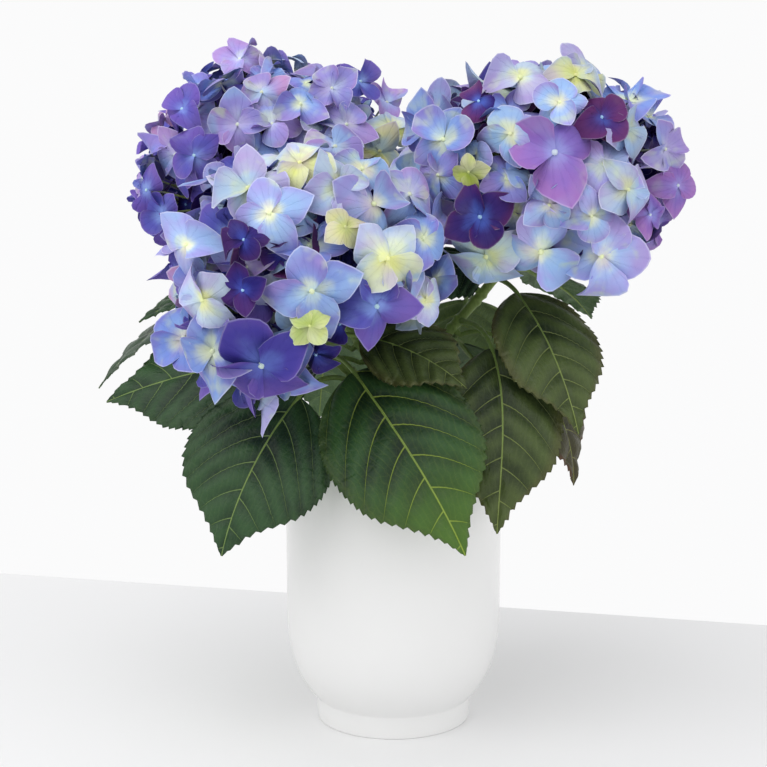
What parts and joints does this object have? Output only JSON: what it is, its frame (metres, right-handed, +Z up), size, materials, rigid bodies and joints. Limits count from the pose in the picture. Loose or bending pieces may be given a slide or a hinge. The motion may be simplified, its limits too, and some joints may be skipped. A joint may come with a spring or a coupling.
{
  "type": "potted hydrangea shrub",
  "caption": "Mophead hydrangea in a tall plain ceramic pot: leafy shoots from one short stem, each ending in a domed head of blue and violet flowers.",
  "frame": {"origin": "centre of the pot's flat underside", "axes": "+Z up through the pot's axis; +X to the right and -Y towards the viewer when the lowest flower head is in front on the left"},
  "size_m": [0.3771, 0.3067, 0.4327],
  "materials": {
    "ceramic": "satin white glaze",
    "soil": "loose dark potting mix",
    "bark": "rough grey-brown bark",
    "green_stem": "smooth green stem with pale flecks",
    "leaf": "quilted leaf with a soft gloss and pale veins",
    "petal_blue": "soft blue, cream and violet petals",
    "petal_violet": "soft blue-violet petals",
    "petal_pale": "soft pale blue, cream and purple petals"
  },
  "bodies": {
    "root": {"pot": "ceramic", "soil": "soil", "main_stem": "bark", "shoot_front": "green_stem", "shoot_left": "green_stem", "shoot_right": "green_stem", "leaf_front_left": "leaf", "leaf_front_middle": "leaf", "leaf_left": "leaf", "leaf_front_small": "leaf", "leaf_left_narrow": "leaf", "leaf_left_upper": "leaf", "leaf_back_left": "leaf", "leaf_left_rear": "leaf", "leaf_left_lower": "leaf", "leaf_back_upper": "leaf", "leaf_middle": "leaf", "leaf_front_right": "leaf", "leaf_right_upper": "leaf", "leaf_right_lower": "leaf", "leaf_back_right": "leaf", "leaf_right_rear": "leaf", "leaf_inner": "leaf", "leaf_inner_upper": "leaf", "leaf_back_middle": "leaf", "flower_head_front": "petal_blue", "flower_head_left": "petal_violet", "flower_head_right": "petal_pale"}
  },
  "joints": []
}
